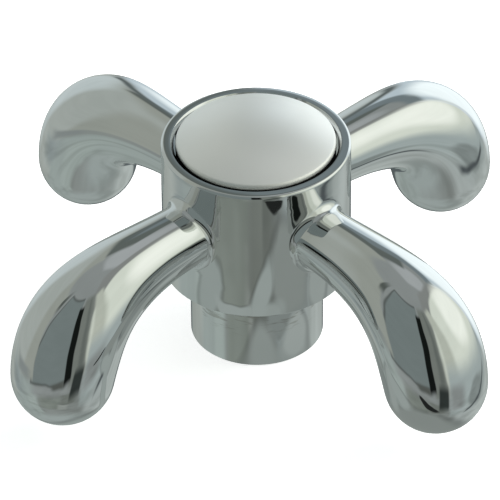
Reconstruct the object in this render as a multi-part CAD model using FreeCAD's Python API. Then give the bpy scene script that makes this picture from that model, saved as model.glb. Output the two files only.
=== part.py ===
"""A cross tap handle: a cast hub with drop-shaped arms, a domed button on top and a splined bush below.

Millimetres. The foot of the neck stands on z = 0, the handle turns about the z axis, and the arms
lie along x and y.
"""

import FreeCAD, Part
import math
import os

from FreeCAD import Vector

# Hub and neck, one turned outline
hub_diameter = 25.4
hub_height = 20.0
rim_edge_round = 0.4
hub_foot_bevel = 0.4
neck_diameter = 18.0
neck_height = 11.0
neck_foot_bevel = 0.3

# Arms: each pole of the arm's line has a reach from the hub wall, a drop and a radius
arm_count = 4
arm_height = 22.0
arm_root_depth = 2.5
arm_root_radius = 4.3
arm_lead_reach = 12.8
arm_lead_radius = 4.2
arm_shoulder_reach = 20.2
arm_shoulder_drop = 1.4
arm_shoulder_radius = 7.9
arm_tip_reach = 22.0
arm_tip_drop = 11.6
arm_tip_radius = 6.9
arm_root_fillet = 1.3
arm_sections = 15

# Domed button, its seat in the rim and its spigot
button_diameter = 21.4
button_gap = 0.3
button_seat_depth = 3.0
button_corner_round = 1.1
button_crown = 1.5
rim_bevel = 0.4
spigot_diameter = 15.6
spigot_length = 4.4
spigot_clearance = 0.15
spigot_lead_bevel = 0.5

# Rubber ring of square section in the spigot's groove
ring_section = 1.8
ring_edge_bevel = 0.3
ring_drop = 2.2
ring_clearance = 0.03

# Screw, its well and the web that it clamps
well_depth = 8.0
web_thickness = 3.5
screw_diameter = 4.0
screw_length = 12.0
screw_hole_clearance = 0.25
screw_head_diameter = 7.6
screw_head_height = 2.8
screw_head_bevel = 0.9
screw_tip_bevel = 0.5
drive_width = 1.2
drive_span = 4.4
drive_depth = 1.6

# Splined bush, its socket and the bore of the neck
bush_diameter = 12.4
bush_socket_depth = 10.0
bush_setback = 0.3
bush_press_gap = 0.01
bush_mouth_bevel = 0.4
spline_teeth = 20
spline_root_diameter = 8.1
spline_crest_diameter = 7.4
neck_bore_diameter = 14.4

# Levels, from the foot of the neck up
hub_radius = hub_diameter / 2
neck_radius = neck_diameter / 2
rim_level = neck_height + hub_height
seat_level = rim_level - button_seat_depth
web_top = seat_level - well_depth
web_bottom = web_top - web_thickness
socket_mouth = web_bottom - bush_socket_depth

# Radii of the seats, from the pieces that they hold
seat_radius = button_diameter / 2 + button_gap
well_radius = spigot_diameter / 2 + spigot_clearance
screw_hole_radius = screw_diameter / 2 + screw_hole_clearance
socket_radius = bush_diameter / 2
neck_bore_radius = neck_bore_diameter / 2


def point(radius, level):
    """A point of a turned outline, in the half plane y = 0."""
    return Vector(radius, 0, level)


def line(start, end):
    return Part.LineSegment(start, end).toShape()


def corner_arc(start, corner, end):
    """A quarter round from start to end, which lie one radius each side of the square corner."""
    centre = start + end - corner
    radius = (start - centre).Length
    middle = centre + (corner - centre).normalize() * radius
    return Part.Arc(start, middle, end).toShape()


def turned(points, arcs=()):
    """A solid turned about the z axis: straight runs through the points, closed by a line or by arcs."""
    edges = [line(a, b) for a, b in zip(points[:-1], points[1:])]
    edges += arcs or [line(points[-1], points[0])]
    face = Part.Face(Part.Wire(Part.sortEdges(edges)[0]))
    return face.revolve(Vector(0, 0, 0), Vector(0, 0, 1), 360)


def outer_form():
    """The hub and the neck as one solid bar: a rounded rim, and bevels at the feet of hub and neck."""
    rim_edge = point(hub_radius, rim_level)
    round_start = point(hub_radius, rim_level - rim_edge_round)
    round_end = point(hub_radius - rim_edge_round, rim_level)
    straight = [
        round_end,
        point(0, rim_level),
        point(0, 0),
        point(neck_radius - neck_foot_bevel, 0),
        point(neck_radius, neck_foot_bevel),
        point(neck_radius, neck_height),
        point(hub_radius - hub_foot_bevel, neck_height),
        point(hub_radius, neck_height + hub_foot_bevel),
        round_start,
    ]
    bar = turned(straight, [corner_arc(round_start, rim_edge, round_end)])
    # The turned wall's seam goes between two arms
    bar.rotate(Vector(0, 0, 0), Vector(0, 0, 1), 180 / arm_count)
    return bar


def cubic(values, t):
    """A cubic Bezier in one coordinate, and its slope."""
    a, b, c, d = values
    s = 1 - t
    place = a * s**3 + 3 * b * s * s * t + 3 * c * s * t * t + d * t**3
    slope = 3 * ((b - a) * s * s + 2 * (c - b) * s * t + (d - c) * t * t)
    return place, slope


pole_reaches = (-arm_root_depth, arm_lead_reach, arm_shoulder_reach, arm_tip_reach)
pole_drops = (0, 0, arm_shoulder_drop, arm_tip_drop)
arm_reaches = [hub_radius + reach for reach in pole_reaches]
arm_heights = [arm_height - drop for drop in pole_drops]
arm_radii = [arm_root_radius, arm_lead_radius, arm_shoulder_radius, arm_tip_radius]


def arm_ball(t):
    """The ball that sweeps the arm, at t from root to tip: centre, radius, heading and swell."""
    x, dx = cubic(arm_reaches, t)
    z, dz = cubic(arm_heights, t)
    radius, grows = cubic(arm_radii, t)
    speed = math.hypot(dx, dz)
    heading = Vector(dx / speed, 0, dz / speed)
    return Vector(x, 0, z), radius, heading, grows / speed


def arm_section(t):
    """The circle along which the ball at t touches the skin of the arm."""
    centre, radius, heading, swell = arm_ball(t)
    ring = Part.Wire(Part.makeCircle(radius * math.sqrt(1 - swell * swell)))
    turn = math.degrees(math.atan2(heading.x, heading.z))
    place = centre - heading * (radius * swell)
    ring.Placement = FreeCAD.Placement(place, FreeCAD.Rotation(Vector(0, 1, 0), turn))
    return ring


def arm():
    """One arm along +x: a skin through circles along its line, closed by the round of the last ball."""
    rings = [arm_section(k / (arm_sections - 1)) for k in range(arm_sections)]
    stem = Part.makeLoft(rings, True, False)
    centre, radius, heading, swell = arm_ball(1)
    lowest_latitude = math.degrees(math.asin(-swell))
    tip = Part.makeSphere(radius, centre, heading, lowest_latitude, 90, 360)
    return stem.fuse(tip)


def on_hub_wall(edge):
    """True for the edges where an arm runs into the wall of the hub."""
    if edge.Degenerated:
        return False
    first, last = edge.ParameterRange
    levels, gaps = [], []
    for share in (0.1, 0.3, 0.5, 0.7, 0.9):
        spot = edge.valueAt(first + (last - first) * share)
        levels.append(spot.z)
        gaps.append(abs(math.hypot(spot.x, spot.y) - hub_radius))
    within = neck_height + hub_foot_bevel < min(levels) and max(levels) < rim_level - rim_edge_round
    straight = isinstance(edge.Curve, Part.Line)
    return within and not straight and max(gaps) < 0.01


def hollow():
    """What is turned out of the casting: the seat, the well, the screw hole, the socket and the neck."""
    over = rim_level + rim_bevel
    under = -neck_foot_bevel
    bevelled = seat_radius + rim_bevel
    return turned(
        [
            point(0, over),
            point(bevelled, over),
            point(bevelled, rim_level),
            point(seat_radius, rim_level - rim_bevel),
            point(seat_radius, seat_level),
            point(well_radius, seat_level),
            point(well_radius, web_top),
            point(screw_hole_radius, web_top),
            point(screw_hole_radius, web_bottom),
            point(socket_radius, web_bottom),
            point(socket_radius, socket_mouth),
            point(neck_bore_radius, socket_mouth),
            point(neck_bore_radius, under),
            point(0, under),
        ]
    )


def handle_body():
    """The casting: hub, neck and arms in one, with its inside turned out."""
    form = outer_form()
    for k in range(arm_count):
        branch = arm()
        branch.rotate(Vector(0, 0, 0), Vector(0, 0, 1), 360 * k / arm_count)
        form = form.fuse(branch)
    form = form.makeFillet(arm_root_fillet, [e for e in form.Edges if on_hub_wall(e)])
    return form.cut(hollow())


def index_button():
    """The domed plug: a crowned head with a rounded edge, and a spigot with a groove for the ring."""
    head_radius = button_diameter / 2
    spigot_radius = spigot_diameter / 2
    spigot_foot = seat_level - spigot_length
    groove_level = seat_level - ring_drop
    groove_half = ring_section / 2 + ring_clearance
    groove_radius = well_radius - ring_section - ring_clearance * 2
    # The crown is an arc from the centre that runs into the rounded edge
    corner_centre = point(head_radius - button_corner_round, rim_level)
    crown_top = point(0, rim_level + button_corner_round + button_crown)
    rise = button_corner_round + button_crown
    inset = corner_centre.x
    crown_radius = (inset**2 + rise**2 - button_corner_round**2) / (2 * (rise - button_corner_round))
    crown_centre = point(0, crown_top.z - crown_radius)
    outward = (corner_centre - crown_centre).normalize()
    crown_end = corner_centre + outward * button_corner_round
    half_lean = math.atan2(outward.x, outward.z) / 2
    crown_middle = crown_centre + Vector(math.sin(half_lean), 0, math.cos(half_lean)) * crown_radius
    corner_middle = corner_centre + (outward + Vector(1, 0, 0)).normalize() * button_corner_round
    edge_start = point(head_radius, rim_level)
    straight = [
        edge_start,
        point(head_radius, seat_level),
        point(spigot_radius, seat_level),
        point(spigot_radius, groove_level + groove_half),
        point(groove_radius, groove_level + groove_half),
        point(groove_radius, groove_level - groove_half),
        point(spigot_radius, groove_level - groove_half),
        point(spigot_radius, spigot_foot + spigot_lead_bevel),
        point(spigot_radius - spigot_lead_bevel, spigot_foot),
        point(0, spigot_foot),
        crown_top,
    ]
    crown = Part.Arc(crown_top, crown_middle, crown_end).toShape()
    corner = Part.Arc(crown_end, corner_middle, edge_start).toShape()
    return turned(straight, [crown, corner])


def button_ring():
    """The rubber ring, between the floor of the groove and the wall of the well."""
    outer_radius = well_radius - ring_clearance
    inner_radius = outer_radius - ring_section
    top = seat_level - ring_drop + ring_section / 2
    foot = top - ring_section
    return turned(
        [
            point(inner_radius, top),
            point(outer_radius - ring_edge_bevel, top),
            point(outer_radius, top - ring_edge_bevel),
            point(outer_radius, foot + ring_edge_bevel),
            point(outer_radius - ring_edge_bevel, foot),
            point(inner_radius, foot),
        ]
    )


def handle_screw():
    """A machine screw with a bevelled head and a cross drive, its head on the web."""
    shank_radius = screw_diameter / 2
    head_radius = screw_head_diameter / 2
    head_top = web_top + screw_head_height
    tip = web_top - screw_length
    screw = turned(
        [
            point(0, head_top),
            point(head_radius - screw_head_bevel, head_top),
            point(head_radius, head_top - screw_head_bevel),
            point(head_radius, web_top),
            point(shank_radius, web_top),
            point(shank_radius, tip + screw_tip_bevel),
            point(shank_radius - screw_tip_bevel, tip),
            point(0, tip),
        ]
    )
    for long_side, short_side in ((drive_span, drive_width), (drive_width, drive_span)):
        corner = Vector(-long_side / 2, -short_side / 2, head_top - drive_depth)
        screw = screw.cut(Part.makeBox(long_side, short_side, drive_depth, corner))
    return screw


def spline_bush():
    """The brass bush: a plain ring outside, pointed splines inside, and a bevelled mouth."""
    outside_radius = socket_radius - bush_press_gap
    mouth = socket_mouth + bush_setback
    length = web_bottom - mouth
    ring = Part.makeCylinder(outside_radius, length, Vector(0, 0, mouth))
    root_radius, crest_radius = spline_root_diameter / 2, spline_crest_diameter / 2
    outline = []
    for k in range(2 * spline_teeth + 1):
        radius = root_radius if k % 2 else crest_radius
        angle = math.pi * k / spline_teeth
        outline.append(Vector(radius * math.cos(angle), radius * math.sin(angle), mouth))
    broach = Part.Face(Part.makePolygon(outline)).extrude(Vector(0, 0, length))
    mouth_radius = root_radius + bush_mouth_bevel
    bevel_height = mouth_radius - crest_radius
    funnel = Part.makeCone(mouth_radius, crest_radius, bevel_height, Vector(0, 0, mouth))
    return ring.cut(broach).cut(funnel)


os.makedirs("parts", exist_ok=True)
for make in (handle_body, index_button, button_ring, handle_screw, spline_bush):
    solid = make()
    solid.exportStep(f"parts/{make.__name__}.step")
    box = solid.BoundBox
    print(make.__name__, len(solid.Solids), solid.isValid(), round(solid.Volume, 2), box)
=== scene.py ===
import math

import bmesh
import bpy
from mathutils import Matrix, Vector


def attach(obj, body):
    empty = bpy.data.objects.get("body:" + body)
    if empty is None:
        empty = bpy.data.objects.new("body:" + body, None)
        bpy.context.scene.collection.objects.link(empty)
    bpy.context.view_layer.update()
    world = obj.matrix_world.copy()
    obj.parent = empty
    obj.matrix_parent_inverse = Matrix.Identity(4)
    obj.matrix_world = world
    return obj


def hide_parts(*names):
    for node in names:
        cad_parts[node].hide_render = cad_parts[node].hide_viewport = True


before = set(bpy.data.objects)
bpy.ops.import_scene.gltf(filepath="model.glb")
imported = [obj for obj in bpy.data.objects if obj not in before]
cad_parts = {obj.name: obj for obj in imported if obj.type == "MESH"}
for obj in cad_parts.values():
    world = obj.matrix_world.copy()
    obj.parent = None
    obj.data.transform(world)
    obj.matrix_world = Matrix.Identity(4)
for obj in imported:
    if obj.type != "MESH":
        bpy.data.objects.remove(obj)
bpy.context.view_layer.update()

# The body is one zinc casting, polished all over and chrome plated: a round hub on a narrower neck.
# Its inside is turned out for the button above and for the screw and the splined bush below.
# A quarter of it is turned here, with an opening in its wall where the arm will grow from.
mm = 0.001
quarter_columns = 24
hub_radius = 12.7 * mm
hub_foot = 11 * mm
rim_level = 31 * mm
rim_round = 0.4 * mm
rim_bevel = 0.4 * mm
rim_crown = 0.02 * mm
neck_radius = 9 * mm
neck_foot_bevel = 0.3 * mm
hub_foot_bevel = 0.4 * mm
seat_radius = 11 * mm
seat_level = 28 * mm
well_radius = 7.95 * mm
web_top = 20 * mm
web_bottom = 16.5 * mm
screw_hole_radius = 2.25 * mm
socket_radius = 6.2 * mm
socket_mouth = 6.5 * mm
neck_bore_radius = 7.2 * mm
arm_level = 22 * mm
opening_half_height = 6.6 * mm
opening_half_turn = math.radians(30)
opening_foot = arm_level - opening_half_height
opening_top = arm_level + opening_half_height
opening_slack = 0.001
wall_slack = 0.01 * mm
finest = 0.002 * mm
crease_angle = 32
rim_steps = 6


def arc(centre, radius, start, end, steps):
    """Points along an arc of a turned outline, from angle start to end, in degrees from the outward side."""
    angles = [math.radians(start + (end - start) * k / steps) for k in range(steps + 1)]
    return [(centre[0] + radius * math.cos(a), centre[1] + radius * math.sin(a)) for a in angles]


def draw_outline(name, outline, turn=0):
    """A new piece in edit mode: one line through (radius, level) points, in the half plane at that turn."""
    across = Vector((math.cos(turn), math.sin(turn), 0))
    up = Vector((0, 0, 1))
    places = [across * radius + up * level for radius, level in outline]
    bpy.ops.object.select_all(action="DESELECT")
    bpy.ops.mesh.primitive_plane_add(size=mm)
    piece = bpy.context.object
    piece.name = name
    piece.data.name = name
    bpy.ops.object.mode_set(mode="EDIT")
    bpy.ops.mesh.merge(type="CENTER")
    bpy.ops.transform.translate(value=places[0])
    for place, following in zip(places, places[1:]):
        bpy.ops.mesh.extrude_region_move(TRANSFORM_OT_translate={"value": following - place})
    return piece


def pick(piece, kind, chosen):
    """In edit mode, selects the verts, edges or faces that the given test chooses, and nothing else."""
    bpy.ops.mesh.select_mode(type={"verts": "VERT", "edges": "EDGE", "faces": "FACE"}[kind])
    bpy.ops.mesh.select_all(action="DESELECT")
    mesh = bmesh.from_edit_mesh(piece.data)
    for element in getattr(mesh, kind):
        if chosen(element):
            element.select_set(True)
    mesh.select_flush_mode()
    bmesh.update_edit_mesh(piece.data)


def on_hub_wall(vert):
    return abs(math.hypot(vert.co.x, vert.co.y) - hub_radius) < wall_slack


def close_up(piece, smooth_below):
    """Merges doubles, turns the faces outwards, leaves edit mode and smooths all but the sharp edges."""
    bpy.ops.mesh.select_mode(type="VERT")
    bpy.ops.mesh.select_all(action="SELECT")
    bpy.ops.mesh.remove_doubles(threshold=finest)
    bpy.ops.mesh.normals_make_consistent(inside=False)
    bpy.ops.object.mode_set(mode="OBJECT")
    bpy.ops.object.shade_smooth_by_angle(angle=math.radians(smooth_below))
    even = piece.modifiers.new("even_shading", "WEIGHTED_NORMAL")
    even.keep_sharp = True
    bpy.ops.object.modifier_apply(modifier=even.name)


rim_edge = arc((hub_radius - rim_round, rim_level - rim_round), rim_round, 0, 90, rim_steps)
body_outline = [
    (hub_radius, hub_foot + hub_foot_bevel),
    (hub_radius, opening_foot),
    (hub_radius, opening_top),
    *rim_edge,
    ((seat_radius + rim_bevel + hub_radius - rim_round) / 2, rim_level + rim_crown),
    (seat_radius + rim_bevel, rim_level),
    (seat_radius, rim_level - rim_bevel),
    (seat_radius, seat_level),
    (well_radius, seat_level),
    (well_radius, web_top),
    (screw_hole_radius, web_top),
    (screw_hole_radius, web_bottom),
    (socket_radius, web_bottom),
    (socket_radius, socket_mouth),
    (neck_bore_radius, socket_mouth),
    (neck_bore_radius, 0),
    (neck_radius - neck_foot_bevel, 0),
    (neck_radius, neck_foot_bevel),
    (neck_radius, hub_foot),
    (hub_radius - hub_foot_bevel, hub_foot),
    (hub_radius, hub_foot + hub_foot_bevel),
]
body = draw_outline("handle_body_chrome", body_outline, math.radians(-45))

# Cuts across the wall from one level to the next: along the opening, enough to match the arm's ring
wall_rows = ((hub_foot, opening_foot, 6), (opening_foot, opening_top, 23), (opening_top, rim_level, 3))
for foot, top, cuts in wall_rows:
    pick(
        body,
        "edges",
        lambda edge: all(on_hub_wall(v) and foot - finest < v.co.z < top + finest for v in edge.verts)
        and abs(edge.verts[0].co.z - edge.verts[1].co.z) > mm,
    )
    bpy.ops.mesh.subdivide(number_cuts=cuts)
bpy.ops.mesh.select_mode(type="VERT")
bpy.ops.mesh.select_all(action="SELECT")
bpy.ops.mesh.spin(steps=quarter_columns, angle=math.radians(-90), center=(0, 0, 0), axis=(0, 0, 1))
bpy.ops.mesh.select_all(action="SELECT")
bpy.ops.mesh.remove_doubles(threshold=finest)


def in_opening(place):
    turn = abs(math.atan2(place.y, place.x))
    near = opening_half_turn + opening_slack
    return turn < near and opening_foot - finest < place.z < opening_top + finest


pick(
    body,
    "faces",
    lambda face: all(on_hub_wall(vert) and in_opening(vert.co) for vert in face.verts),
)
bpy.ops.mesh.delete(type="FACE")
bpy.ops.object.mode_set(mode="OBJECT")

# The arms are cast in one with the hub: each leaves it level, swells and bends down into a round drop.
# A ball of changing size that runs along a curved line sweeps the skin, so every section is a ring.
# A rolled fillet joins the arm's root to the wall of the hub, and the other arms are quarter-turn copies.
ring_points = 80
arm_reaches = [10.2 * mm, 25.5 * mm, 32.9 * mm, 34.7 * mm]
arm_levels = [22 * mm, 22 * mm, 20.6 * mm, 10.4 * mm]
arm_radii = [4.3 * mm, 4.2 * mm, 7.9 * mm, 6.9 * mm]
arm_start = 0.09
arm_steps = 56
tip_steps = 14
fillet_radius = 1.3 * mm
fillet_steps = 10
root_radius = 4.34 * mm
root_slack = 1.001
bridge_rows = 3


def cubic(values, t):
    """A cubic Bezier in one coordinate, and its slope."""
    a, b, c, d = values
    s = 1 - t
    place = a * s**3 + 3 * b * s * s * t + 3 * c * s * t * t + d * t**3
    slope = 3 * ((b - a) * s * s + 2 * (c - b) * s * t + (d - c) * t * t)
    return place, slope


def arm_ring(t, tilt=None):
    """Centre, radius, bend and lean of the ring where the ball at t touches the skin.

    A given tilt is the lean of a ring further round the ball instead.
    """
    x, dx = cubic(arm_reaches, t)
    z, dz = cubic(arm_levels, t)
    radius, grows = cubic(arm_radii, t)
    speed = math.hypot(dx, dz)
    heading = Vector((dx, 0, dz)) / speed
    lean = math.asin(-grows / speed) if tilt is None else tilt
    centre = Vector((x, 0, z)) + heading * (radius * math.sin(lean))
    return centre, radius * math.cos(lean), math.atan2(-dz, dx), lean


rings = [arm_ring(arm_start + (1 - arm_start) * k / arm_steps) for k in range(arm_steps + 1)]
tip_lean = rings[-1][3]
tip_leans = [tip_lean + (math.radians(90) - tip_lean) * k / tip_steps for k in range(1, tip_steps)]
rings += [arm_ring(1, lean) for lean in tip_leans]
tip_centre = arm_ring(1, math.radians(90))[0]

bpy.ops.object.select_all(action="DESELECT")
first_centre, first_radius, first_bend = rings[0][:3]
bpy.ops.mesh.primitive_circle_add(
    vertices=ring_points,
    radius=first_radius,
    location=first_centre,
    rotation=(0, math.radians(90) + first_bend, 0),
)
bpy.ops.object.transform_apply(location=True, rotation=True, scale=True)
arm = bpy.context.object
bpy.ops.object.mode_set(mode="EDIT")
bpy.ops.mesh.select_mode(type="EDGE")
bpy.ops.mesh.select_all(action="SELECT")
for before, after in zip(rings, rings[1:]):
    bpy.ops.mesh.extrude_region_move(TRANSFORM_OT_translate={"value": after[0] - before[0]})
    bpy.ops.transform.rotate(value=before[2] - after[2], orient_axis="Y", center_override=after[0])
    growth = after[1] / before[1]
    bpy.ops.transform.resize(value=(growth, growth, growth), center_override=after[0])
bpy.ops.mesh.extrude_region_move(TRANSFORM_OT_translate={"value": tip_centre - rings[-1][0]})
bpy.ops.mesh.merge(type="CENTER")


def fillet_place(turn, share):
    """A point of the fillet at a turn round the arm: share 0 is on the hub's wall and share 1 on the arm."""
    round_arm = Vector((0, math.cos(turn), math.sin(turn)))
    ball = round_arm * (root_radius + fillet_radius)
    ball.x = math.sqrt((hub_radius + fillet_radius) ** 2 - ball.y**2)
    to_wall = -Vector((ball.x, ball.y, 0)).normalized()
    to_arm = -round_arm
    ball.z += arm_level
    return ball + to_wall.slerp(to_arm, share) * fillet_radius


pick(arm, "verts", lambda vert: (vert.co - first_centre).length < first_radius * root_slack)
arm_mesh = bmesh.from_edit_mesh(arm.data)
turns = arm_mesh.verts.layers.float.new("turn")
for vert in arm_mesh.verts:
    vert[turns] = math.atan2(vert.co.z - arm_level, vert.co.y)
for k in range(fillet_steps + 1):
    bpy.ops.mesh.extrude_region_move(TRANSFORM_OT_translate={"value": (0, 0, 0)})
    arm_mesh = bmesh.from_edit_mesh(arm.data)
    turns = arm_mesh.verts.layers.float["turn"]
    for vert in arm_mesh.verts:
        if vert.select:
            vert.co = fillet_place(vert[turns], 1 - k / fillet_steps)
    bmesh.update_edit_mesh(arm.data)
arm_mesh.verts.layers.float.remove(turns)
bpy.ops.object.mode_set(mode="OBJECT")

# The wall is made up again between its opening and the fillet
body.select_set(True)
bpy.context.view_layer.objects.active = body
bpy.ops.object.join()
bpy.ops.object.mode_set(mode="EDIT")
pick(
    body,
    "edges",
    lambda edge: edge.is_boundary and all(on_hub_wall(v) and in_opening(v.co) for v in edge.verts),
)
bpy.ops.mesh.bridge_edge_loops(number_cuts=bridge_rows, interpolation="LINEAR")
wall_mesh = bmesh.from_edit_mesh(body.data)
for vert in wall_mesh.verts:
    reach = math.hypot(vert.co.x, vert.co.y)
    if hub_radius - mm < reach < hub_radius and in_opening(vert.co):
        vert.co.xy *= hub_radius / reach
bmesh.update_edit_mesh(body.data)
bpy.ops.mesh.select_all(action="SELECT")
bpy.ops.mesh.spin(steps=3, angle=math.radians(270), center=(0, 0, 0), axis=(0, 0, 1), dupli=True)
close_up(body, crease_angle)
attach(body, "root")
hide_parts("handle_body")


class Wire:
    """A socket of a node tree. Arithmetic between wires, or with numbers, adds Math nodes."""

    def __init__(self, tree, socket=None):
        self.tree = tree
        self.socket = socket

    def node(self, kind, settings=None, inputs=None, output=0):
        """Adds a node of this kind: its settings first, then the values or links of its sockets."""
        added = self.tree.nodes.new(kind)
        for name, setting in (settings or {}).items():
            setattr(added, name, setting)
        for name, value in (inputs or {}).items():
            if isinstance(value, Wire):
                self.tree.links.new(value.socket, added.inputs[name])
            else:
                added.inputs[name].default_value = value
        return Wire(self.tree, added.outputs[output])

    def math(self, operation, *values):
        return self.node("ShaderNodeMath", {"operation": operation}, dict(enumerate(values)))

    def __add__(self, other):
        return self.math("ADD", self, other)

    def __radd__(self, other):
        return self.math("ADD", other, self)

    def __sub__(self, other):
        return self.math("SUBTRACT", self, other)

    def __rsub__(self, other):
        return self.math("SUBTRACT", other, self)

    def __mul__(self, other):
        return self.math("MULTIPLY", self, other)

    def __rmul__(self, other):
        return self.math("MULTIPLY", other, self)

    def rise(self, low, high):
        """0 below low, 1 above high, and a smooth rise between them. A low above the high makes it fall."""
        smooth = {"interpolation_type": "SMOOTHSTEP"}
        return self.node("ShaderNodeMapRange", smooth, {0: self, 1: low, 2: high})

    def mix(self, start, end):
        """A colour between two others, with this wire as the share of the second."""
        return self.node("ShaderNodeMix", {"data_type": "RGBA"}, {0: self, 6: start, 7: end}, 2)


def new_finish(name, metallic, **constants):
    """A material with its shader, and a bare wire to add its nodes from."""
    finish = bpy.data.materials.new(name)
    finish.use_nodes = True
    shader = finish.node_tree.nodes["Principled BSDF"]
    shader.inputs["Metallic"].default_value = metallic
    for socket, value in constants.items():
        shader.inputs[socket.replace("_", " ")].default_value = value
    return finish, shader, Wire(finish.node_tree)


def feed(shader, **wires):
    for socket, wire in wires.items():
        wire.tree.links.new(wire.socket, shader.inputs[socket.replace("_", " ")])


def clouds(start, place, scale, detail=2.0):
    """Even noise between 0 and 1, with blots of about 1 / scale metres."""
    return start.node("ShaderNodeTexNoise", inputs={"Vector": place, "Scale": scale, "Detail": detail})


chrome, chrome_shader, start = new_finish("chrome_plate", 1.0)
place = start.node("ShaderNodeTexCoord", output="Object")
film = clouds(start, place, 160.0).rise(0.35, 0.75)
wave = clouds(start, place, 140.0, 1.0)

# Short level streaks on the neck under the hub's ledge, darker and rougher than the plate
streaks_fade = 4.8 * mm
streaks_full = 6.8 * mm
level = start.node("ShaderNodeSeparateXYZ", inputs={0: place}, output="Z")
flat = start.node("ShaderNodeMapping", inputs={"Vector": place, "Scale": (1, 1, 0)})
reach = start.node("ShaderNodeVectorMath", {"operation": "LENGTH"}, {0: flat}, "Value")
long_place = start.node("ShaderNodeMapping", inputs={"Vector": place, "Scale": (420, 420, 1900)})
streaks = clouds(start, long_place, 1.0).rise(0.52, 0.68)
on_neck = reach.rise(neck_radius + mm, neck_radius + 0.5 * mm)
streaks = streaks * on_neck * level.rise(streaks_fade, streaks_full)
plate = film.mix((0.79, 0.80, 0.795, 1), (0.76, 0.775, 0.77, 1))
feed(
    chrome_shader,
    Base_Color=streaks.mix(plate, (0.58, 0.575, 0.55, 1)),
    Roughness=0.012 + 0.02 * film + 0.12 * streaks,
    Normal=start.node("ShaderNodeBump", inputs={"Strength": 0.5, "Distance": 0.00008, "Height": wave}),
)
body.data.materials.append(chrome)

# The button is a turned plug with a slightly domed head and a satin plate, pushed into the rim.
# Its spigot goes down into the well, and a rubber ring in the spigot's groove holds it there.
button_radius = 10.7 * mm
button_corner = 0.5 * mm
button_top = 33.6 * mm
spigot_radius = 7.8 * mm
spigot_foot = 23.6 * mm
spigot_lead = 0.5 * mm
groove_radius = 6.09 * mm
groove_top = 26.73 * mm
groove_foot = 24.87 * mm
gap_shade_start = 0.1 * mm
gap_shade_full = 0.35 * mm
button_columns = 96
crown_steps = 20
corner_steps = 10

corner_inset = button_radius - button_corner
crown_rise = button_top - rim_level
crown_radius = (corner_inset**2 + crown_rise**2 - button_corner**2) / (2 * (crown_rise - button_corner))
crown_centre = (0, button_top - crown_radius)
crown_lean = math.degrees(math.atan2(rim_level - crown_centre[1], corner_inset))
button_outline = [
    *arc(crown_centre, crown_radius, 90, crown_lean, crown_steps),
    *arc((corner_inset, rim_level), button_corner, crown_lean, 0, corner_steps),
    (button_radius, seat_level),
    (spigot_radius, seat_level),
    (spigot_radius, groove_top),
    (groove_radius, groove_top),
    (groove_radius, groove_foot),
    (spigot_radius, groove_foot),
    (spigot_radius, spigot_foot + spigot_lead),
    (spigot_radius - spigot_lead, spigot_foot),
    (0, spigot_foot),
]
button = draw_outline("index_button_satin", button_outline)
bpy.ops.mesh.select_all(action="SELECT")
bpy.ops.mesh.spin(steps=button_columns, angle=math.radians(360), center=(0, 0, 0), axis=(0, 0, 1))
close_up(button, crease_angle)
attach(button, "root")
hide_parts("index_button")

satin, satin_shader, start = new_finish("satin_plate", 0.70)
place = start.node("ShaderNodeTexCoord", output="Object")
grain = clouds(start, place, 5200.0)
patch = clouds(start, place, 260.0).rise(0.3, 0.8)
level = start.node("ShaderNodeSeparateXYZ", inputs={0: place}, output="Z")

# Painted shade darkens the gap round the head, below the rim
gap_shade = level.rise(rim_level - gap_shade_start, rim_level - gap_shade_full)
plate = patch.mix((0.96, 0.955, 0.925, 1), (0.945, 0.94, 0.91, 1))
feed(
    satin_shader,
    Base_Color=gap_shade.mix(plate, (0.03, 0.032, 0.03, 1)),
    Roughness=0.38 + 0.04 * patch,
    Normal=start.node("ShaderNodeBump", inputs={"Strength": 0.012, "Distance": 0.0001, "Height": grain}),
)
button.data.materials.append(satin)

# The ring is moulded black rubber, square in section, in the groove of the button's spigot.
# It stays the CAD solid, since it is hidden in the well.
rubber, rubber_shader, start = new_finish("black_rubber", 0.0)
place = start.node("ShaderNodeTexCoord", output="Object")
bloom = clouds(start, place, 900.0).rise(0.4, 0.8)
feed(
    rubber_shader,
    Base_Color=bloom.mix((0.025, 0.025, 0.026, 1), (0.05, 0.05, 0.05, 1)),
    Roughness=0.6 + 0.2 * bloom,
)

# The screw is zinc-plated steel and clamps the handle to the tap's stem through the web of the hub.
# It stays the CAD solid, since it is hidden under the button.
zinc, zinc_shader, start = new_finish("zinc_plated_steel", 1.0)
place = start.node("ShaderNodeTexCoord", output="Object")
spangle = clouds(start, place, 1400.0).rise(0.3, 0.7)
feed(
    zinc_shader,
    Base_Color=spangle.mix((0.64, 0.64, 0.62, 1), (0.58, 0.58, 0.57, 1)),
    Roughness=0.28 + 0.14 * spangle,
)

# The bush is brass bar, turned outside and broached inside with splines, pressed up into the hub's socket.
# It stays the CAD solid, since its splines are already true, and gets a brass with fine tool lines.
brass, brass_shader, start = new_finish("turned_brass", 1.0)
place = start.node("ShaderNodeTexCoord", output="Object")
lines = start.node(
    "ShaderNodeTexWave",
    {"wave_type": "BANDS", "bands_direction": "Z"},
    {"Vector": place, "Scale": 1500.0, "Distortion": 1.5},
    1,
)
dull = clouds(start, place, 500.0).rise(0.3, 0.7)
feed(
    brass_shader,
    Base_Color=dull.mix((0.76, 0.58, 0.30, 1), (0.66, 0.49, 0.24, 1)),
    Roughness=0.2 + 0.1 * dull + 0.08 * lines,
)
for node, finish in (("button_ring", rubber), ("handle_screw", zinc), ("spline_bush", brass)):
    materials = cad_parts[node].data.materials
    materials.clear()
    materials.append(finish)

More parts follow.
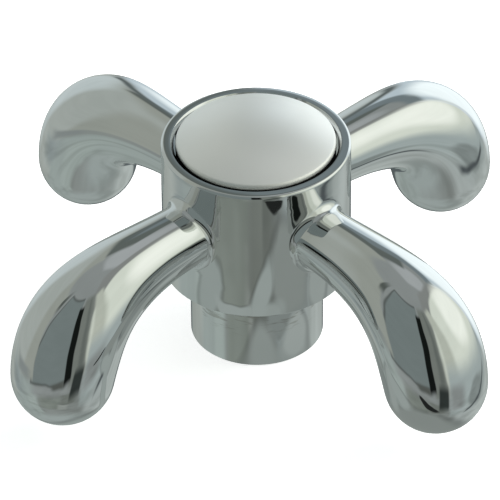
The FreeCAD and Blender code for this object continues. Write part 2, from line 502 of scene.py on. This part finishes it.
# The camera stands in front of the gap between two arms and looks down on the rim through a long lens.
# Its place comes from the outline in the photo, and it aims a little left of the rim's centre and below it.
camera_turn = math.radians(47.6)
camera_height = math.radians(35.66)
camera_roll = math.radians(-0.43)
camera_distance = 0.6746
aim_left = 0.88 * mm
aim_below = 14.47 * mm
across = Vector((math.cos(camera_turn), math.sin(camera_turn), 0))
level_back = Vector((-math.sin(camera_turn), math.cos(camera_turn), 0))
ahead = level_back * math.cos(camera_height) - Vector((0, 0, math.sin(camera_height)))
upward = across.cross(ahead)
rim_centre = Vector((0, 0, rim_level))
aim = rim_centre - across * aim_left - upward * aim_below
camera_data = bpy.data.cameras.new("camera")
camera_data.lens = 365.3
camera_data.sensor_width = 36
camera_data.clip_start = 0.05
camera_data.clip_end = 50
camera = bpy.data.objects.new("camera", camera_data)
bpy.context.scene.collection.objects.link(camera)
camera.location = rim_centre - ahead * camera_distance
camera.rotation_euler = (aim - camera.location).to_track_quat("-Z", "Y").to_euler()
camera.rotation_euler.rotate_axis("Z", camera_roll)
bpy.context.scene.camera = camera

# The floor is a plain white sheet, which gets its white from its colour and a glow that only the eye sees.
# It keeps the handle's soft shadow. The chrome doesn't mirror it, since the photo's white is a cut-out.
floor_size = 30


def seen_directly(start):
    """1 for rays from the camera, also by way of metal or glass, and 0 for light that falls on things."""
    seen = start.node("ShaderNodeLightPath", output="Is Camera Ray")
    seen = seen + start.node("ShaderNodeLightPath", output="Is Glossy Ray")
    return seen + start.node("ShaderNodeLightPath", output="Is Transmission Ray")


bpy.ops.object.select_all(action="DESELECT")
bpy.ops.mesh.primitive_plane_add(size=floor_size)
floor = bpy.context.object
floor.name = "floor"
white, white_shader, start = new_finish(
    "white_sheet",
    0.0,
    Base_Color=(0.85, 0.85, 0.85, 1),
    Roughness=0.9,
    Emission_Strength=1.0,
)
glow = seen_directly(start).mix((0, 0, 0, 1), (0.75, 0.75, 0.75, 1))
feed(white_shader, Emission_Color=glow)
floor.data.materials.append(white)
floor.visible_glossy = False

# The studio is a shell round the set that the camera looks past, with what the chrome mirrors: pale walls,
# a bright window behind, a cream reflector on the right, a grey table and the dark round the camera.
# Each patch is a board or an oval with soft edges, laid over those before it.
studio_radius = 0.7
unevenness = 6


def new_glow(name):
    """A finish that only shines."""
    return new_finish(
        name,
        0.0,
        Base_Color=(0, 0, 0, 1),
        Roughness=1.0,
        Specular_IOR_Level=0.0,
        Emission_Strength=1.0,
    )


bpy.ops.object.select_all(action="DESELECT")
bpy.ops.mesh.primitive_uv_sphere_add(segments=96, ring_count=48, radius=studio_radius)
studio = bpy.context.object
studio.name = "studio"
studio.visible_camera = False
studio.visible_shadow = False
studio_light, studio_shader, start = new_glow("studio_light")
place = start.node("ShaderNodeTexCoord", output="Object")
turned = start.node("ShaderNodeMapping", inputs={"Vector": place, "Rotation": (0, 0, -camera_turn)})
ray = start.node("ShaderNodeVectorMath", {"operation": "NORMALIZE"}, {0: turned})
right = start.node("ShaderNodeSeparateXYZ", inputs={0: ray}, output="X")
behind = start.node("ShaderNodeSeparateXYZ", inputs={0: ray}, output="Y")
above = start.node("ShaderNodeSeparateXYZ", inputs={0: ray}, output="Z")

# Directions in degrees, a little uneven: bearing to the right from behind the handle, facing to the right
# from the camera, and height from the level
sway = clouds(start, ray, 2.2, 0.5) - 0.5
nod = clouds(start, ray, 2.7, 0.5) - 0.5
bearing = start.math("ARCTAN2", right, behind) * math.degrees(1) + unevenness * sway
in_front = start.math("MULTIPLY", behind, -1)
facing = start.math("ARCTAN2", right, in_front) * math.degrees(1) + unevenness * sway
height = start.math("ARCSINE", above) * math.degrees(1) + unevenness * nod


def board(turn, sides, levels, leans=(0, 0), tilts=(0, 0), soft=(2, 3)):
    """Share of a soft four-sided patch. Leans and tilts say how far an edge moves in 50 degrees along it."""
    along = 50
    middle = (sides[0] + sides[1]) / 2
    left, far = [turn - height * (lean / along) for lean in leans]
    low, high = [height - (turn - middle) * (tilt / along) for tilt in tilts]
    inside = left.rise(sides[0] - soft[0], sides[0] + soft[0])
    inside = inside * far.rise(sides[1] + soft[0], sides[1] - soft[0])
    inside = inside * low.rise(levels[0] - soft[1], levels[0] + soft[1])
    return inside * high.rise(levels[1] + soft[1], levels[1] - soft[1])


def oval(centre, half, soft):
    """Share of a soft oval patch, by bearing and height."""
    sideways = (bearing - centre[0]) * (1 / half[0])
    upwards = (height - centre[1]) * (1 / half[1])
    reach = sideways * sideways + upwards * upwards
    return reach.rise(1 + soft, 1 - soft)


ceiling = (0.285, 0.31, 0.305, 1)
light = ceiling
table = height.rise(-25, -31)
light = table.mix(light, (0.26, 0.286, 0.275, 1))
table_left = board(bearing, (-112, 12), (-100, -24), tilts=(-4, -7), soft=(12, 6))
light = table_left.mix(light, (0.335, 0.385, 0.37, 1))
table_right = board(bearing, (12, 111), (-100, -28), tilts=(0, -15), soft=(12, 5))
light = table_right.mix(light, (0.455, 0.50, 0.485, 1))
table_front_right = board(facing, (50, 100), (-100, -28), soft=(14, 4))
light = table_front_right.mix(light, (0.40, 0.44, 0.43, 1))
table_front = board(facing, (-53, -8), (-46, -28), soft=(6, 4))
light = table_front.mix(light, (0.235, 0.265, 0.24, 1))
table_streak = board(facing, (-6, 15), (-48, -35.6), leans=(10, 10), soft=(5, 1.5))
light = table_streak.mix(light, (0.345, 0.375, 0.355, 1))
table_dark = board(facing, (-8, 20), (-35.6, -26), soft=(6, 1))
light = table_dark.mix(light, (0.195, 0.215, 0.197, 1))
table_side = board(facing, (-79, -58), (-60, -28), soft=(5, 4))
light = table_side.mix(light, (0.365, 0.42, 0.40, 1))
table_below = height.rise(-55, -74)
light = table_below.mix(light, (0.335, 0.38, 0.37, 1))
behind_handle = oval((0, -41), (22, 14), 0.3)
light = behind_handle.mix(light, (0.11, 0.13, 0.135, 1))
front_wall_edge = board(facing, (-69.5, -1.5), (-18, 66), leans=(4, 0), tilts=(3, -1), soft=(1.5, 1.5))
light = front_wall_edge.mix(light, (0.11, 0.125, 0.12, 1))
front_wall = board(facing, (-67, -1.5), (-16, 64), leans=(4, 0), tilts=(3, -1), soft=(1.5, 1.5))
light = front_wall.mix(light, (0.195, 0.232, 0.229, 1))
front_foot = board(facing, (-26, -4), (-20.5, -14.5), soft=(5, 2.5))
light = front_foot.mix(light, (0.105, 0.115, 0.105, 1))
left_wall = board(bearing, (-112.5, -4.5), (-22, 61), leans=(7.5, -4), tilts=(-5, 3.5), soft=(2, 3))
light = left_wall.mix(light, (0.345, 0.37, 0.335, 1))
left_arch = oval((-47.5, 7), (44.5, 48.5), 0.2)
light = left_arch.mix(light, (0.417, 0.454, 0.43, 1))
left_glow = oval((-23, 1.5), (20.5, 29), 0.6)
light = left_glow.mix(light, (0.575, 0.645, 0.65, 1))
left_foot = board(bearing, (-86, -58), (-33, -20), tilts=(0, 3), soft=(14, 3))
light = left_foot.mix(light, (0.29, 0.335, 0.335, 1))
left_line = board(bearing, (-104, -69), (-19.5, -12.5), tilts=(-3, -3), soft=(9, 2))
light = left_line.mix(light, (0.265, 0.295, 0.29, 1))
left_post = board(bearing, (-113, -109), (44, 62), leans=(4, 8), soft=(1.5, 8))
light = left_post.mix(light, (0.10, 0.115, 0.105, 1))
ceiling_right = oval((40, 68), (43.5, 13), 0.5)
light = ceiling_right.mix(light, (0.41, 0.437, 0.443, 1))
reflector_edge = oval((109, 23.5), (66, 53.5), 0.1)
light = reflector_edge.mix(light, (0.26, 0.275, 0.265, 1))
header = board(bearing, (-9.5, 15), (32, 59), leans=(0, 6), soft=(3, 3))
light = header.mix(light, (0.125, 0.145, 0.136, 1))
window_top = board(bearing, (0, 50.5), (29, 46), soft=(2, 2.5))
light = window_top.mix(light, (0.193, 0.234, 0.249, 1))
window_post = board(bearing, (-4, -0.5), (-6, 44.5), soft=(1.5, 4))
light = window_post.mix(light, (0.13, 0.155, 0.155, 1))
window_frame = board(bearing, (0.5, 50), (-24.5, 34.5), tilts=(6, 1.5), soft=(2, 3))
light = window_frame.mix(light, (0.55, 0.645, 0.70, 1))
window = oval((28, 2), (22, 30.5), 0.5)
light = window.mix(light, (1.10, 1.20, 1.225, 1))
reflector = oval((102.5, 15.5), (55, 47), 0.1)
light = reflector.mix(light, (0.77, 0.82, 0.725, 1))
reflector_side = board(bearing, (47.5, 52.5), (-13, 41), leans=(3.5, -1.5), soft=(1.5, 4))
light = reflector_side.mix(light, (0.75, 0.83, 0.87, 1))
reflector_near = oval((78, 30), (28, 23), 0.6)
light = reflector_near.mix(light, (1.05, 1.09, 0.995, 1))
reflector_far = board(bearing, (128, 149), (-19, 62), leans=(3, 0), tilts=(0, -5), soft=(5, 3))
light = reflector_far.mix(light, (0.53, 0.565, 0.49, 1))
reflector_foot = board(bearing, (49.5, 148), (-36, -2), tilts=(-8, 8), soft=(4, 11))
light = reflector_foot.mix(light, (0.40, 0.46, 0.455, 1))
reflector_low = board(bearing, (120, 148), (-33, -11), soft=(8, 5))
light = reflector_low.mix(light, (0.275, 0.30, 0.295, 1))
reflector_shade = oval((89, -26.5), (20, 9), 0.5)
light = reflector_shade.mix(light, (0.25, 0.286, 0.28, 1))
reflector_line = board(bearing, (60, 112), (-34, -30.5), tilts=(-19, -19), soft=(6, 1.5))
light = reflector_line.mix(light, (0.09, 0.105, 0.11, 1))
front_right = board(facing, (4, 28), (-19.5, 63), tilts=(10, 0), soft=(4, 4))
light = front_right.mix(light, (0.20, 0.22, 0.20, 1))
dark_fold = board(facing, (16, 24), (-24, 60), leans=(2, -2), tilts=(10, 0), soft=(3, 4))
light = dark_fold.mix(light, (0.145, 0.163, 0.15, 1))
dark_corner = board(facing, (14, 30), (-31, -11), leans=(9, 5.5), soft=(2, 5))
light = dark_corner.mix(light, (0.035, 0.043, 0.04, 1))
round_camera = board(facing, (-6, 6), (-17.5, 55), tilts=(7.5, 0), soft=(1.2, 3))
light = round_camera.mix(light, (0.008, 0.01, 0.009, 1))

# The table is smeared in long level streaks
flat_ray = start.node("ShaderNodeMapping", inputs={"Vector": ray, "Scale": (1.2, 1.2, 5.5)})
smear = clouds(start, flat_ray, 1.6, 2.0).rise(0.3, 0.7)
smeared = smear.mix((0.84, 0.84, 0.83, 1), (1.1, 1.1, 1.1, 1))
on_table = 0.15 + 0.85 * height.rise(-14, -27)
light = start.node(
    "ShaderNodeMix",
    {"data_type": "RGBA", "blend_type": "MULTIPLY"},
    {0: on_table, 6: light, 7: smeared},
    2,
)
feed(studio_shader, Emission_Color=light)
studio.data.materials.append(studio_light)

# The sheet is the piece of table right under the handle, with painted shade and light that only chrome sees.
# It lies on the floor, clear between its patches, so the hub and neck mirror them at their true distance.
sheet_radius = 75 * mm
sheet_level = 0.1 * mm
patch_wander = 3
bpy.ops.object.select_all(action="DESELECT")
bpy.ops.mesh.primitive_circle_add(
    vertices=64,
    radius=sheet_radius,
    fill_type="NGON",
    location=(0, 0, sheet_level),
)
bpy.ops.object.transform_apply(location=True, rotation=True, scale=True)
sheet = bpy.context.object
sheet.name = "table_sheet"
sheet.visible_camera = False
sheet.visible_shadow = False
sheet.visible_diffuse = False
table_shading, table_shading_shader, start = new_glow("table_painted_shading")
place = start.node("ShaderNodeTexCoord", output="Object")
turned = start.node(
    "ShaderNodeMapping",
    inputs={"Vector": place, "Rotation": (0, 0, -camera_turn), "Scale": (1000, 1000, 1000)},
)
to_right = start.node("ShaderNodeSeparateXYZ", inputs={0: turned}, output="X")
to_back = start.node("ShaderNodeSeparateXYZ", inputs={0: turned}, output="Y")
to_right = to_right + patch_wander * (clouds(start, place, 70.0, 1.0) - 0.5)
to_front = patch_wander * (clouds(start, place, 85.0, 1.0) - 0.5) - to_back


def shading_patch(centre, half, slope, soft):
    """Share of a soft oval, in millimetres to the right and front. A slope moves it forward on the right."""
    aside = to_right - centre[0]
    along = to_front - centre[1] - aside * slope
    reach = aside * aside * (1 / half[0] ** 2) + along * along * (1 / half[1] ** 2)
    return reach.rise(1 + soft, 1 - soft)


# Painted shade right of the hub and of the neck, paler places between them, the long S of painted light that
# the hub mirrors, and last the dark blot of painted shade that shows under the rim
light = (0, 0, 0, 1)
cover = 0
for centre, half, slope, soft, tone in (
    ((19, 31), (11, 14), 0.0, 0.5, (0.265, 0.295, 0.28, 1)),
    ((11, 17), (7.5, 5.5), 0.0, 0.6, (0.235, 0.265, 0.255, 1)),
    ((10.5, 9), (6.5, 4), 0.0, 0.6, (0.375, 0.415, 0.40, 1)),
    ((27.5, 13), (7, 6), 0.0, 0.5, (0.35, 0.39, 0.375, 1)),
    ((-23, 21), (7, 8), 0.0, 0.5, (0.325, 0.37, 0.355, 1)),
    ((-10, 25.5), (9, 2), 0.35, 0.4, (0.35, 0.395, 0.38, 1)),
    ((3.5, 26), (9, 4), 0.0, 0.6, (0.33, 0.37, 0.355, 1)),
    ((3.5, 32.5), (7.5, 5.5), 0.7, 0.6, (0.345, 0.39, 0.375, 1)),
    ((1.5, 13), (4, 7), 0.0, 0.8, (0.30, 0.335, 0.32, 1)),
    ((16.5, 50), (8, 2.2), -0.4, 0.3, (0.018, 0.02, 0.019, 1)),
):
    spread = shading_patch(centre, half, slope, soft)
    light = spread.mix(light, tone)
    cover = start.math("MAXIMUM", cover, spread)
feed(table_shading_shader, Emission_Color=light, Alpha=cover)
sheet.data.materials.append(table_shading)

# The lamp is a soft box over the right of the set, which lights the button and the floor.
# The chrome doesn't mirror it, since the studio already has all that shows in the metal.
lamp_right = 0.9
lamp_back = 0.3
lamp_height = 1.0
lamp_data = bpy.data.lights.new("soft_lamp", "AREA")
lamp_data.size = 1.0
lamp_data.energy = 13
lamp = bpy.data.objects.new("soft_lamp", lamp_data)
bpy.context.scene.collection.objects.link(lamp)
lamp.location = across * lamp_right + level_back * lamp_back + Vector((0, 0, lamp_height))
lamp.rotation_euler = (-lamp.location).to_track_quat("-Z", "Y").to_euler()
lamp.visible_glossy = False

# Beyond the set everything is white to the eye, as in the photo, and gives only a little light.
# Standard view keeps the colours as they are set here.
world = bpy.data.worlds.new("white_surround")
world.use_nodes = True
bpy.context.scene.world = world
backdrop = world.node_tree.nodes["Background"]
start = Wire(world.node_tree)
backdrop.inputs["Strength"].default_value = 1.0
feed(backdrop, Color=seen_directly(start).mix((0.3, 0.3, 0.3, 1), (1, 1, 1, 1)))
bpy.context.scene.view_settings.view_transform = "Standard"
